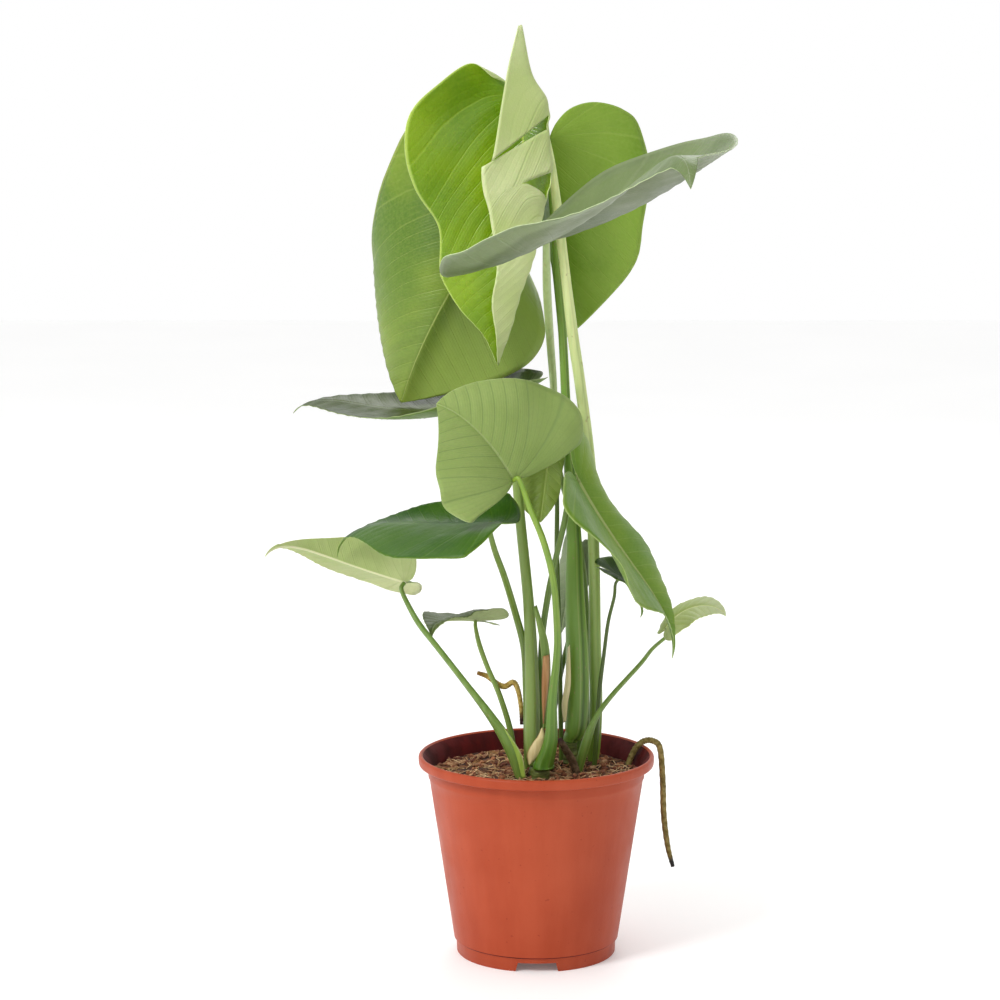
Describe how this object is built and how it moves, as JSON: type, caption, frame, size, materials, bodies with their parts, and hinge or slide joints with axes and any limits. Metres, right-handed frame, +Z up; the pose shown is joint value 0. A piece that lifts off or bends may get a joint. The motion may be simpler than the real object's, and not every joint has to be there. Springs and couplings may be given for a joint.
{
  "type": "potted monstera",
  "caption": "Young climbing aroid with heart-shaped leaves on long stalks, rooted in a tapered plastic nursery pot.",
  "frame": {"origin": "middle of the plant's footprint, on the surface that the pot stands on", "axes": "+Z up along the pot's axis, +Y away from the picture's viewer, +X to the viewer's right"},
  "size_m": [0.3312, 0.3659, 0.6659],
  "materials": {
    "pot_plastic": "satin terracotta-coloured moulded plastic",
    "potting_soil": "matte crumbly peat with bark chips and fibres",
    "leaf_blade": "waxy green upper face, matte pale underside",
    "young_leaf_blade": "glossy yellow-green upper face, pale underside",
    "petiole": "smooth green with fine lengthwise lines",
    "stem": "smooth dark green with pale rings",
    "aerial_root": "dull brown, wrinkled"
  },
  "bodies": {
    "root": {"pot": "pot_plastic", "soil": "potting_soil", "back_left_leaf": "leaf_blade", "back_left_petiole": "petiole", "back_right_leaf": "leaf_blade", "back_right_petiole": "petiole", "unfurling_leaf": "young_leaf_blade", "unfurling_petiole": "petiole", "slanted_top_leaf": "leaf_blade", "slanted_top_petiole": "petiole", "dark_side_leaf": "leaf_blade", "dark_side_petiole": "petiole", "centre_leaf": "leaf_blade", "centre_petiole": "petiole", "glossy_left_leaf": "leaf_blade", "glossy_left_petiole": "petiole", "low_left_leaf": "leaf_blade", "low_left_petiole": "petiole", "small_left_leaf": "leaf_blade", "small_left_petiole": "petiole", "right_drooping_leaf": "leaf_blade", "right_drooping_petiole": "petiole", "shaded_leaf": "leaf_blade", "shaded_petiole": "petiole", "hidden_lower_leaf": "leaf_blade", "hidden_lower_petiole": "petiole", "small_right_dark_leaf": "leaf_blade", "small_right_dark_petiole": "petiole", "low_right_leaf": "young_leaf_blade", "low_right_petiole": "petiole", "left_stem": "stem", "right_stem": "stem", "curled_root": "aerial_root", "rim_root": "aerial_root", "stub_root": "aerial_root"}
  },
  "joints": []
}
